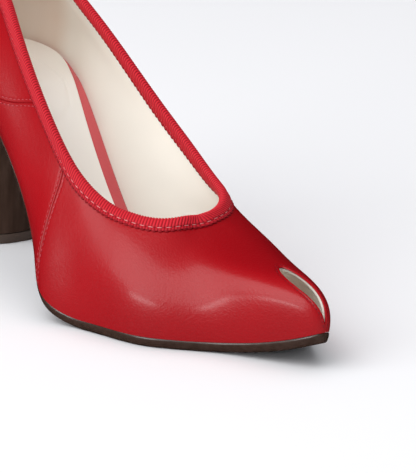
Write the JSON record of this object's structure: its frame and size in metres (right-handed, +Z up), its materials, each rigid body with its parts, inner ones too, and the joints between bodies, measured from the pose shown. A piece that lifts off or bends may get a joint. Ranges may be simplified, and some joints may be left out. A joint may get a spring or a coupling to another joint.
{
  "type": "peep toe pump",
  "caption": "High-heeled peep toe pump for a right foot, with a ribbon-bound collar, a slit at the toe tip and a rounded block heel.",
  "frame": {"origin": "centre of the heel's flat face on the floor", "axes": "+X towards the toe, +Y to the inner (medial) side of the foot, +Z up"},
  "size_m": [0.2368, 0.0811, 0.1297],
  "materials": {
    "upper_leather": "smooth red calf leather, satin",
    "binding_ribbon": "red ribbed ribbon, matt with a slight sheen",
    "insole_leather": "red leather cover, satin",
    "sock_leather": "cream leather, matt",
    "sole_leather": "dark brown sole leather, satin edge",
    "heel_cover": "dark brown leather cover, satin",
    "top_piece_rubber": "dark brown hard rubber, satin"
  },
  "bodies": {
    "root": {"upper": "upper_leather", "collar_binding": "binding_ribbon", "insole": "insole_leather", "sock": "sock_leather", "outsole": "sole_leather", "heel": "heel_cover", "top_piece": "top_piece_rubber"}
  },
  "joints": []
}
